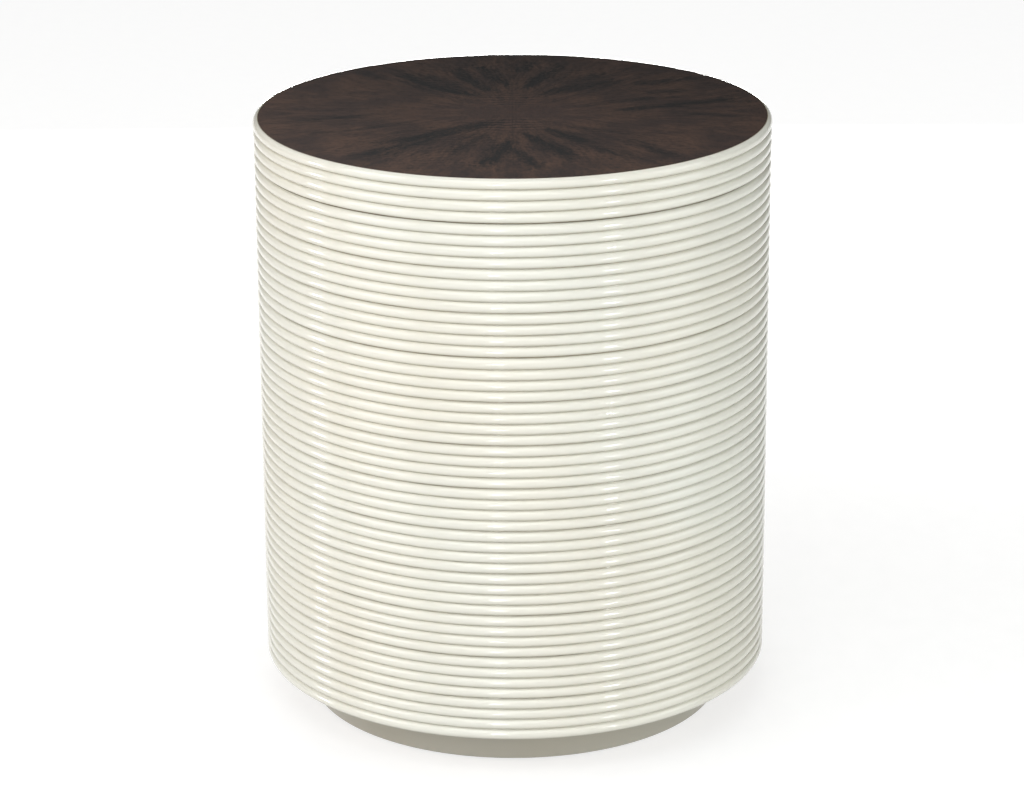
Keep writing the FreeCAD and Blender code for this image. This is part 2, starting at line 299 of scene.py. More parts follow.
@dataclass(frozen=True)
class CreamLacquer:
    """Cream satin lacquer, sprayed over the reeding and the plinth, with painted shade in the grooves and
    under the beads.
    """

    cream: Colour = (0.835, 0.828, 0.75)
    warm: Colour = (0.84, 0.815, 0.722)
    # painted shade: colour of the shade in the grooves and on the undersides of the beads
    groove: Colour = (0.275, 0.238, 0.155)
    dirt: Colour = (0.36, 0.32, 0.24)
    name: str = "cream_lacquer"
    roughness: float = 0.10
    groove_radius: float = 249.0 * MM
    # painted shade in the grooves: where it starts, how far it reaches up the top flank and down the
    # underside of a bead, and how dark it is
    groove_shade_start: float = 0.2 * MM
    groove_shade_over: float = 1.1 * MM
    groove_shade_under: float = 5.2 * MM
    groove_shade_strength: float = 0.95
    groove_shade_turn: Point = (-0.45, 0.35)
    hairline: Point = (0.05 * MM, 0.5 * MM)
    hairline_strength: float = 0.6
    reeding_slack: float = 2.0 * MM

    def material(self) -> Material:
        """Build the material on Object coordinates.

        Returns:
            The material.
        """
        graph = Graph(self.name)
        place = graph.coordinates
        drift = graph.noise(place, 5.0, 2.0)
        colour = graph.blend(graph.span(drift, 0.35, 0.7), self.cream, self.warm)
        band = graph.noise(graph.spread(place, (0.6, 0.6, 26.0)), 1.0, 1.0)
        colour = graph.blend(graph.span(band, 0.3, 0.75, 0.0, 0.35), colour, self.warm)
        depth = graph.over(graph.reach(), self.groove_radius)
        in_reeding = graph.math("GREATER_THAN", depth, -self.reeding_slack)
        # painted shade: the grooves are darkened, the undersides of the beads further down than their tops,
        # for the shade the lamps leave there; the facing attribute tells up from down
        facing = graph.node("ShaderNodeAttribute", attribute_name=FACING).outputs["Fac"]
        extent = graph.span(facing, *self.groove_shade_turn, self.groove_shade_under, self.groove_shade_over)
        painted_shade = graph.times(graph.span(depth, self.groove_shade_start, extent, 1.0, 0.0), in_reeding)
        colour = graph.blend(graph.times(painted_shade, self.groove_shade_strength), colour, self.groove)
        broken = graph.noise(graph.spread(place, (14.0, 14.0, 60.0)), 1.0, 4.0, 0.65)
        broken = graph.span(broken, 0.42, 0.62, 0.0, self.hairline_strength)
        hairline = graph.times(graph.span(depth, *self.hairline, 1.0, 0.0), in_reeding, broken)
        colour = graph.blend(hairline, colour, self.dirt)
        streaks = graph.noise(graph.spread(place, (9.0, 9.0, 620.0)), 1.0, 3.0, 0.6)
        peel = graph.noise(place, 900.0, 2.0, 0.5)
        rough = graph.span(streaks, 0.25, 0.8, self.roughness - 0.03, self.roughness + 0.06)
        normal = graph.bump(streaks, 0.012 * MM)
        normal = graph.bump(peel, 0.004 * MM, normal)
        return graph.surface(colour, rough, normal, Specular_IOR_Level=0.65)


@dataclass(frozen=True)
class Feather:
    """One dark plume of the crotch figure, as a swept stroke on the top; lengths in millimetres.

    Attributes:
        root: Where it begins.
        tip: Where it has faded out.
        sweep: How far its middle lies to the left of the straight line from root to tip.
        width: Half width at the root.
        spread: Half width at the tip.
        depth: Darkness, from 0 to 1.
    """

    root: Point
    tip: Point
    sweep: float
    width: float
    spread: float
    depth: float

    @property
    def length(self) -> float:
        """Straight distance from root to tip."""
        return math.dist(self.root, self.tip)

    @property
    def angle(self) -> float:
        """Direction from root to tip, in radians."""
        return math.atan2(self.tip[1] - self.root[1], self.tip[0] - self.root[0])


@dataclass(frozen=True)
class CrotchVeneer:
    """Dark quarter-matched crotch veneer under satin varnish."""

    light: Colour = (0.052, 0.0285, 0.0225)
    amber: Colour = (0.100, 0.052, 0.034)
    dark: Colour = (0.0050, 0.0040, 0.0042)
    roughness: float = 0.16
    seam: float = 0.14 * MM
    ripple_pitch: float = 9.4 * MM
    ripple_depth: float = 0.45
    figure_depth: float = 0.78
    weave_depth: float = 1.7
    streak_depth: float = 0.55
    fine_depth: float = 1.3
    pore_depth: float = 0.55
    seam_depth: float = 0.75
    calm_hub: Point = (12.0 * MM, 55.0 * MM)
    bright_hub: Point = (20.0 * MM, 110.0 * MM)
    hub_tone: float = 0.35
    # overall tone of the top, to which the painted light slope and the brighter hub are added
    tone_and_painted_light: float = 0.95
    # painted light: the top's colour is scaled lighter towards the front left and darker towards the back
    # right, for how the lamps fall on it
    slope: Point = (-0.55, -1.30)
    relief: float = 0.012 * MM
    least_radius: float = 4.0 * MM
    ray_wander: float = 22.0 * MM
    ray_stretch: float = 1.3
    unevenness: float = 9.0 * MM
    overlap: float = 0.12
    least_width: float = 0.005
    soft_edge: float = 2.0
    fade_in: Point = (-0.05, 0.22)
    fade_out: Point = (0.72, 1.08)
    ripple_shift: float = 17.0 * MM
    ripple_side: Point = (8.0 * MM, 44.0 * MM)
    ripple_start: Point = (14.0 * MM, 40.0 * MM)
    ripple_end: Point = (58.0 * MM, 88.0 * MM)
    feathers: tuple[Feather, ...] = (
        Feather((-24, 59), (-124, 180), 10, 8, 14, 0.95),
        Feather((-46, 92), (-92, 166), 1, 6, 11, 0.50),
        Feather((-12, 74), (-60, 206), 6, 5, 10, 0.84),
        Feather((-3, 92), (-50, 218), -8, 5, 11, 0.84),
        Feather((-130, 136), (-160, 186), 2, 8, 11, 0.56),
        Feather((5, 86), (53, 216), -4, 5, 10, 0.90),
        Feather((4, 160), (25, 226), 0, 6, 11, 0.73),
        Feather((20, 62), (124, 138), 5, 8, 15, 0.73),
        Feather((60, 120), (102, 164), 0, 10, 12, 0.45),
        Feather((116, 114), (202, 149), -4, 10, 12, 0.73),
        Feather((132, 70), (180, 90), 0, 6, 9, 0.56),
        Feather((86, 3), (244, 63), -5, 5, 12, 1.00),
        Feather((62, 20), (198, 69), 5, 4, 6, 0.67),
        Feather((228, 30), (236, 96), 0, 11, 12, 0.56),
        Feather((-6, -24), (-134, -126), 7, 8, 14, 0.95),
        Feather((-64, -94), (-157, -176), 2, 8, 14, 0.84),
        Feather((-21, -82), (-64, -170), -2, 9, 12, 0.45),
        Feather((-1, -96), (-39, -216), 6, 6, 11, 0.95),
        Feather((-128, -1), (-228, -34), 3, 5, 6, 0.73),
        Feather((-74, -13), (-214, -84), 11, 4, 6, 0.56),
        Feather((-68, -52), (-124, -83), 0, 4, 6, 0.39),
        Feather((4, -72), (59, -192), 3, 5, 10, 0.95),
        Feather((25, -59), (78, -131), 3, 6, 10, 0.90),
        Feather((2, -138), (28, -224), -2, 5, 9, 0.78),
        Feather((100, -105), (149, -187), 8, 6, 11, 0.62),
        Feather((65, -122), (113, -183), 2, 6, 9, 0.45),
        Feather((132, 4), (240, -30), 2, 5, 8, 0.50),
        Feather((48, -52), (120, -92), 0, 4, 6, 0.39),
    )

    def plume(self, graph: Graph, place: Socket, fray: Socket, feather: Feather) -> Socket:
        """Darkness of one feather, from 0 to 1.

        Args:
            graph: Node tree to add to.
            place: Coordinates on the top, already a little uneven.
            fray: Streaks that break up the feather's edges.
            feather: The feather to draw.

        Returns:
            The darkness.
        """
        length = feather.length * MM
        along, across, _ = graph.split(graph.framed(place, feather.root, feather.angle, length))
        arch = graph.times(along, graph.math("SUBTRACT", 1.0, along))
        off = graph.math("MULTIPLY_ADD", arch, -4.0 * feather.sweep / feather.length, across)
        width = graph.math("MULTIPLY_ADD", along, (feather.spread - feather.width) / feather.length,
                           feather.width / feather.length)
        width = graph.math("MAXIMUM", width, self.least_width)
        edge = graph.math("DIVIDE", graph.math("ABSOLUTE", off), width)
        body = graph.span(graph.math("ADD", edge, fray), 0.0, self.soft_edge, feather.depth, 0.0)
        fading = graph.span(along, *self.fade_out, 1.0, 0.0)
        return graph.times(body, graph.span(along, *self.fade_in), fading)

    def figure(self, graph: Graph, flat: Socket, streaks: Socket) -> Value:
        """Darkness of all the feathers together.

        Args:
            graph: Node tree to add to.
            flat: Coordinates on the top.
            streaks: Noise along the rays, which frays the feathers.

        Returns:
            The darkness, from 0 to 1.
        """
        fray = graph.times(graph.over(streaks, 0.5), 2.0)
        place = graph.moved(flat, graph.noise(flat, 26.0, 2.0, colour=True), self.unevenness)
        darkness: Value = 0.0
        for feather in self.feathers:
            plume = self.plume(graph, place, fray, feather)
            darkness = graph.math("SMOOTH_MAX", darkness, plume, self.overlap)
        return darkness

    def ripple(self, graph: Graph, flat: Socket, leaf: Socket, steep: Socket) -> Socket:
        """Bars across the grain: on both sides of the hub, and in patches.

        Args:
            graph: Node tree to add to.
            flat: Coordinates on the top.
            leaf: The same, mirrored to one leaf.
            steep: How nearly a ray runs front to back, from 0 to 1.

        Returns:
            The bars, from -1 to 1.
        """
        leaf_x, leaf_y, _ = graph.split(leaf)
        uneven = graph.noise(graph.spread(flat, (1.0, 0.5, 1.0)), 42.0, 2.0)
        bar = graph.math("MULTIPLY_ADD", uneven, self.ripple_shift, leaf_y)
        wave = graph.math("SINE", graph.times(bar, math.tau / self.ripple_pitch))
        by_hub = graph.times(graph.span(leaf_x, *self.ripple_side, 1.0, 0.0),
                             graph.span(leaf_y, *self.ripple_start),
                             graph.span(leaf_y, *self.ripple_end, 1.0, 0.0))
        patchy = graph.times(graph.span(graph.noise(leaf, 22.0, 2.0), 0.42, 0.62, 0.0, 0.3),
                             graph.span(steep, 0.35, 0.7))
        return graph.times(wave, graph.math("MAXIMUM", by_hub, patchy))

    def material(self) -> Material:
        """Build the material on Object coordinates, with the hub at the origin.

        Returns:
            The material.
        """
        graph = Graph("crotch_veneer")
        x, y, _ = graph.split(graph.coordinates)
        flat = graph.joined(x, y, 0.0)
        leaf_x, leaf_y = graph.math("ABSOLUTE", x), graph.math("ABSOLUTE", y)
        leaf = graph.joined(leaf_x, leaf_y, 0.0)
        radius = graph.reach()
        length = graph.math("MAXIMUM", radius, self.least_radius)
        wander = graph.moved(leaf, graph.noise(leaf, 13.0, 3.0, 0.55, colour=True), self.ray_wander)
        ray_x, ray_y, _ = graph.split(wander)
        ray = graph.joined(graph.math("DIVIDE", ray_x, length), graph.math("DIVIDE", ray_y, length),
                           graph.times(radius, self.ray_stretch))
        streaks = graph.noise(ray, 15.0, 4.0, 0.6)
        fine = graph.noise(ray, 62.0, 3.0, 0.6)
        weave = graph.noise(graph.spread(flat, (250.0, 260.0, 1.0)), 1.0, 3.0, 0.65)
        bars = self.ripple(graph, flat, leaf, graph.math("DIVIDE", leaf_y, length))
        shade = graph.times(self.figure(graph, flat, streaks), self.figure_depth)
        shade = graph.math("MULTIPLY_ADD", bars, self.ripple_depth, shade)
        shade = graph.math("MULTIPLY_ADD", graph.over(weave, 0.5), -self.weave_depth, shade)
        grain = graph.span(graph.math("DIVIDE", leaf_x, length), 0.55, 0.95, 0.0, -0.14)
        grain = graph.math("MULTIPLY_ADD", graph.over(streaks, 0.5), -self.streak_depth, grain)
        grain = graph.math("MULTIPLY_ADD", graph.over(fine, 0.5), -self.fine_depth, grain)
        shade = graph.math("MULTIPLY_ADD", grain, graph.span(radius, *self.calm_hub, 0.25, 1.0), shade)
        cloud = graph.math("MULTIPLY_ADD", graph.noise(leaf, 14.0, 2.0), 0.65, graph.times(streaks, 0.35))
        glow = graph.blend(graph.span(cloud, 0.40, 0.62), self.light, self.amber)
        colour = graph.blend(graph.span(shade, -0.20, 0.72, smooth=False), glow, self.dark)
        pores = graph.span(graph.noise(graph.spread(ray, (220.0, 220.0, 11.0)), 1.0, 2.0), 0.60, 0.72)
        colour = graph.blend(graph.times(pores, self.pore_depth), colour, self.dark)
        # painted light: the colour is scaled along X and Y for how the lamps fall on the top; the brighter
        # hub is the wood's own tone
        tone_and_painted_light = graph.math("MULTIPLY_ADD", x, self.slope[0], self.tone_and_painted_light)
        tone_and_painted_light = graph.math("MULTIPLY_ADD", y, self.slope[1], tone_and_painted_light)
        tone_and_painted_light = graph.math("ADD", tone_and_painted_light, graph.span(radius, *self.bright_hub, self.hub_tone, 0.0))
        joint = graph.math("LESS_THAN", graph.math("MINIMUM", leaf_x, leaf_y), self.seam)
        colour = graph.blend(graph.times(joint, self.seam_depth), graph.scaled(colour, tone_and_painted_light), self.dark)
        rough = graph.span(fine, 0.2, 0.8, self.roughness - 0.03, self.roughness + 0.05)
        normal = graph.bump(graph.math("SUBTRACT", fine, pores), self.relief)
        return graph.surface(colour, rough, normal, Specular_IOR_Level=0.5)


@dataclass(frozen=True)
class PlainWood:
    """Unfinished wood with straight grain."""

    name: str
    early: Colour
    late: Colour
    figure: Figure
    roughness: float = 0.62

    def material(self) -> Material:
        """Build the material on Object coordinates.

        Returns:
            The material.
        """
        graph = Graph(self.name)
        wander = graph.noise(graph.coordinates, 7.0, 2.0, colour=True)
        bent = graph.moved(graph.coordinates, wander, 12.0 * MM)
        grain = graph.noise(graph.spread(bent, self.figure.value), 2.2, 5.0, 0.6)
        fibre = graph.noise(graph.spread(bent, self.figure.value), 14.0, 3.0, 0.6)
        colour = graph.blend(graph.span(grain, 0.35, 0.68), self.early, self.late)
        colour = graph.blend(graph.span(fibre, 0.45, 0.75, 0.0, 0.35), colour, self.late)
        rough = graph.span(fibre, 0.2, 0.8, self.roughness - 0.06, self.roughness + 0.1)
        return graph.surface(colour, rough, graph.bump(fibre, 0.08 * MM), Specular_IOR_Level=0.35)


@dataclass(frozen=True)
class Plywood:
    """Unfinished plywood: a rotary-cut face and plies that show at the edges."""

    name: str
    face: Colour = (0.60, 0.445, 0.275)
    glue: Colour = (0.33, 0.215, 0.115)
    ply: float = 1.5 * MM
    bent: bool = False

    def material(self) -> Material:
        """Build the material on Object coordinates, with plies along the radius if the sheet is bent.

        Returns:
            The material.
        """
        graph = Graph(self.name)
        level = graph.reach() if self.bent else graph.split(graph.coordinates)[2]
        layer = graph.math("FRACT", graph.math("DIVIDE", level, 2.0 * self.ply))
        cross = graph.span(layer, 0.46, 0.54)
        line = graph.span(graph.math("ABSOLUTE", graph.over(layer, 0.5)), 0.02, 0.07, 1.0, 0.0)
        face = graph.noise(graph.spread(graph.coordinates, (2.5, 34.0, 34.0)), 2.4, 5.0, 0.62)
        fibre = graph.noise(graph.spread(graph.coordinates, (8.0, 160.0, 160.0)), 4.0, 3.0)
        mottled = graph.blend(graph.span(face, 0.36, 0.7, 0.0, 0.5), self.face, self.glue)
        colour = graph.blend(graph.times(cross, 0.16), mottled, self.glue)
        colour = graph.blend(graph.times(line, 0.45), colour, self.glue)
        rough = graph.span(fibre, 0.2, 0.8, 0.55, 0.75)
        return graph.surface(colour, rough, graph.bump(fibre, 0.06 * MM), Specular_IOR_Level=0.35)


@dataclass(frozen=True)
class Fibreboard:
    """Raw fibreboard: felted brown fibres with no grain."""

    pale: Colour = (0.47, 0.345, 0.22)
    deep: Colour = (0.33, 0.235, 0.145)

    def material(self) -> Material:
        """Build the material on Object coordinates.

        Returns:
            The material.
        """
        graph = Graph("fibreboard")
        felt = graph.noise(graph.coordinates, 700.0, 4.0, 0.7)
        cloud = graph.noise(graph.coordinates, 30.0, 2.0)
        colour = graph.blend(graph.span(felt, 0.3, 0.7), self.pale, self.deep)
        colour = graph.blend(graph.span(cloud, 0.35, 0.7, 0.0, 0.3), colour, self.deep)
        return graph.surface(colour, graph.span(felt, 0.2, 0.8, 0.72, 0.9), graph.bump(felt, 0.1 * MM))


@dataclass(frozen=True)
class ZincSteel:
    """Zinc-plated steel, with a faint spangle and a yellow-blue bloom."""

    bright: Colour = (0.66, 0.665, 0.66)
    bloom: Colour = (0.62, 0.60, 0.50)

    def material(self) -> Material:
        """Build the material on Object coordinates.

        Returns:
            The material.
        """
        graph = Graph("zinc_steel")
        spangle = graph.noise(graph.coordinates, 420.0, 3.0, 0.6)
        cloud = graph.noise(graph.coordinates, 90.0, 2.0)
        colour = graph.blend(graph.span(cloud, 0.35, 0.7), self.bright, self.bloom)
        rough = graph.span(spangle, 0.25, 0.75, 0.24, 0.42)
        return graph.surface(colour, rough, graph.bump(spangle, 0.02 * MM), Metallic=1.0)


@dataclass(frozen=True)
class Nylon:
    """Moulded nylon with a fine matt texture."""

    pale: Colour = (0.82, 0.81, 0.77)
    scuffed: Colour = (0.66, 0.65, 0.61)

    def material(self) -> Material:
        """Build the material on Object coordinates.

        Returns:
            The material.
        """
        graph = Graph("nylon")
        pebble = graph.noise(graph.coordinates, 1600.0, 2.0)
        scuff = graph.noise(graph.coordinates, 160.0, 4.0, 0.7)
        colour = graph.blend(graph.span(scuff, 0.5, 0.75, 0.0, 0.6), self.pale, self.scuffed)
        rough = graph.span(scuff, 0.2, 0.8, 0.42, 0.6)
        return graph.surface(colour, rough, graph.bump(pebble, 0.03 * MM))


def deselect() -> None:
    """Leave edit mode if need be and deselect every object."""
    if bpy.context.object and bpy.context.object.mode != "OBJECT":
        bpy.ops.object.mode_set(mode="OBJECT")
    bpy.ops.object.select_all(action="DESELECT")


def activate(piece: Piece) -> None:
    """Select one object alone and make it active."""
    deselect()
    piece.select_set(True)
    bpy.context.view_layer.objects.active = piece


def apply_modifiers(piece: Piece) -> None:
    """Apply every modifier of a piece in order."""
    activate(piece)
    for modifier in list(piece.modifiers):
        bpy.ops.object.modifier_apply(modifier=modifier.name)


def paint(piece: Piece, material: Material) -> None:
    """Give a piece one material all over."""
    if not piece.material_slots:
        piece.data.materials.append(material)
    for slot in piece.material_slots:
        slot.material = material


def mark_facing(piece: Piece) -> None:
    """Store on each vertex how far it looks up or down, which the painted groove shade reads."""
    facing = piece.data.attributes.new(FACING, "FLOAT", "POINT")
    facing.data.foreach_set("value", [vertex.normal.z for vertex in piece.data.vertices])


def combine(piece: Piece, other: Piece, operation: str) -> None:
    """Add another shape to a piece or cut it out, and delete the other shape.

    Args:
        piece: Piece that stays.
        other: Shape to add or cut.
        operation: UNION or DIFFERENCE.
    """
    modifier = piece.modifiers.new("shape", "BOOLEAN")
    modifier.object = other
    modifier.operation = operation
    modifier.solver = "EXACT"
    apply_modifiers(piece)
    bpy.data.objects.remove(other)


def copy_to(piece: Piece, name: str, place: Vector) -> Piece:
    """Copy a piece with its own mesh and set the copy's mesh at a place.

    Args:
        piece: Piece to copy, modelled at the origin.
        name: Name of the copy.
        place: Where its origin goes.

    Returns:
        The copy.
    """
    activate(piece)
    bpy.ops.object.duplicate()
    made = bpy.context.object
    made.name = name
    bpy.ops.transform.translate(value=place)
    bpy.ops.object.transform_apply(location=True, rotation=True, scale=True)
    return made


def join(pieces: Sequence[Piece], name: str) -> Piece:
    """Join pieces to one object.

    Args:
        pieces: Pieces to join.
        name: Name of the result.

    Returns:
        The joined piece.
    """
    deselect()
    for piece in pieces:
        piece.select_set(True)
    bpy.context.view_layer.objects.active = pieces[0]
    bpy.ops.object.join()
    pieces[0].name = name
    return pieces[0]


class Lathe:
    """A closed profile, drawn vertex by vertex in the XZ half-plane and then spun about the Z axis."""

    def __init__(self, name: str, start: Point) -> None:
        """Merge a small plane to one vertex and move it to the start of the profile.

        Args:
            name: Name of the piece.
            start: Radius and height of the first vertex.
        """
        deselect()
        bpy.ops.mesh.primitive_plane_add(size=MM)
        self.piece = bpy.context.object
        self.piece.name = name
        self.start = start
        self.at = start
        bpy.ops.object.mode_set(mode="EDIT")
        bpy.ops.mesh.select_all(action="SELECT")
        bpy.ops.mesh.merge(type="CENTER")
        bpy.ops.transform.translate(value=(start[0], 0.0, start[1]))

    def line_to(self, radius: float, height: float) -> None:
        """Extrude the last vertex straight to a new place.

        Args:
            radius: Distance of the place from the axis.
            height: Height of the place.
        """
        step = (radius - self.at[0], 0.0, height - self.at[1])
        bpy.ops.mesh.extrude_region_move(TRANSFORM_OT_translate={"value": step})
        self.at = (radius, height)

    def path(self, *points: Point) -> None:
        """Draw straight lines through these places."""
        for point in points:
            self.line_to(*point)

    def arc(self, centre: Point, turn: float, steps: int) -> None:
        """Spin the last vertex about a centre.

        Args:
            centre: Radius and height of the arc's centre.
            turn: Angle in radians, positive from below towards the outside.
            steps: Number of edges.
        """
        bpy.ops.mesh.spin(steps=steps, angle=turn, center=(centre[0], 0.0, centre[1]), axis=(0.0, 1.0, 0.0),
                          use_auto_merge=False)
        radius, height = self.at[0] - centre[0], self.at[1] - centre[1]
        cosine, sine = math.cos(turn), math.sin(turn)
        self.at = (centre[0] + radius * cosine - height * sine, centre[1] + radius * sine + height * cosine)

    def close(self) -> None:
        """Join the last vertex to the first one."""
        self.line_to(*self.start)
        self.merge()

    def merge(self) -> None:
        """Select everything and merge doubles."""
        bpy.ops.mesh.select_all(action="SELECT")
        bpy.ops.mesh.remove_doubles(threshold=MERGE)

    def finished(self, smooth_angle: float) -> Piece:
        """Merge doubles, turn the faces outwards and smooth the piece.

        Args:
            smooth_angle: Edges sharper than this, in degrees, stay sharp.

        Returns:
            The finished piece.
        """
        self.merge()
        bpy.ops.mesh.normals_make_consistent(inside=False)
        bpy.ops.object.mode_set(mode="OBJECT")
        bpy.ops.object.shade_smooth_by_angle(angle=math.radians(smooth_angle))
        return self.piece

    def turned(self, steps: int, smooth_angle: float = 40.0) -> Piece:
        """Close the profile and spin it all the way round.

        Args:
            steps: Number of faces round the axis.
            smooth_angle: Edges sharper than this, in degrees, stay sharp.

        Returns:
            The finished piece.
        """
        self.close()
        bpy.ops.mesh.spin(steps=steps, angle=math.tau, center=(0.0, 0.0, 0.0), axis=(0.0, 0.0, 1.0))
        return self.finished(smooth_angle)

    def wound(self, pitch: float, turns: int, steps: int) -> Piece:
        """Close the profile and wind it up as a screw thread.

        Args:
            pitch: Rise of one turn.
            turns: Number of turns.
            steps: Number of faces in a turn.

        Returns:
            The thread, closed at both ends.
        """
        self.close()
        bpy.ops.object.mode_set(mode="OBJECT")
        screw = self.piece.modifiers.new("thread", "SCREW")
        screw.screw_offset = pitch
        screw.iterations = turns
        screw.steps = steps
        screw.render_steps = steps
        apply_modifiers(self.piece)
        bpy.ops.object.mode_set(mode="EDIT")
        bpy.ops.mesh.select_all(action="SELECT")
        bpy.ops.mesh.fill_holes(sides=4)
        return self.finished(smooth_angle=30.0)


def radii(piece: Piece) -> list[float]:
    """Distance of each vertex of a piece from the drum's axis."""
    return [math.hypot(vertex.co.x, vertex.co.y) for vertex in piece.data.vertices]


def node_radii(node: str) -> tuple[float, float]:
    """Smallest and largest distance of a node's vertices from the drum's axis."""
    distances = radii(frame["nodes"][node])
    return min(distances), max(distances)


def settle(piece: Piece, material: Material, body: str, node: str, slot: Slot) -> None:
    """Finish a new piece, let it ride on a body and put it in the place of a node.

    Args:
        piece: The new piece.
        material: Its finish.
        body: Body that it moves with.
        node: Node that it stands for.
        slot: Material slot of the record; not used.
    """
    paint(piece, material)
    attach(piece, body)
    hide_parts(node)
    LOG.info("%s: %d faces on %s", piece.name, len(piece.data.polygons), body)


@dataclass
class SubAssembly:
    """Part of the table that is modelled here, in the place of nodes of the frame."""

    made: list[NewPiece] = field(default_factory=list, init=False)

    def build(self) -> None:
        """Model the pieces and list each with its finish, body, node and slot."""
        raise NotImplementedError

    def dress(self) -> list[str]:
        """Finish the pieces and put them in the place of their nodes.

        Returns:
            Names of the nodes that are replaced.
        """
        for new in self.made:
            settle(*new)
        return [node for _, _, _, node, _ in self.made]


@dataclass(frozen=True)
class Bead:
    """The round of one bead.

    Attributes:
        crest: Radius of its outermost line.
        level: Height of its lower edge.
        height: Height of the bead.
        depth: How far the crest stands out of the groove.
    """

    crest: float
    level: float
    height: float
    depth: float

    @property
    def size(self) -> float:
        """Radius of the round."""
        return ((self.height / 2) ** 2 + self.depth ** 2) / (2 * self.depth)

    @property
    def centre(self) -> Point:
        """Centre of the round."""
        return self.crest - self.size, self.level + self.height / 2

    @property
    def edge_angle(self) -> float:
        """Angle from the crest to the bead's edge."""
        return math.asin(self.height / 2 / self.size)

    def pool_angle(self, pool: float, gap: float) -> float:
        """Angle from the crest to the pool of lacquer beside the bead.

        Args:
            pool: Radius of the pool's hollow.
            gap: Distance from the bead's edge to the middle of the pool.

        Returns:
            The angle in radians.
        """
        return math.asin((self.height / 2 + gap) / (self.size + pool))

    def pool_middle(self, pool: float, gap: float) -> float:
        """Radius at which the pool's hollow has its centre."""
        return self.centre[0] + (self.size + pool) * math.cos(self.pool_angle(pool, gap))


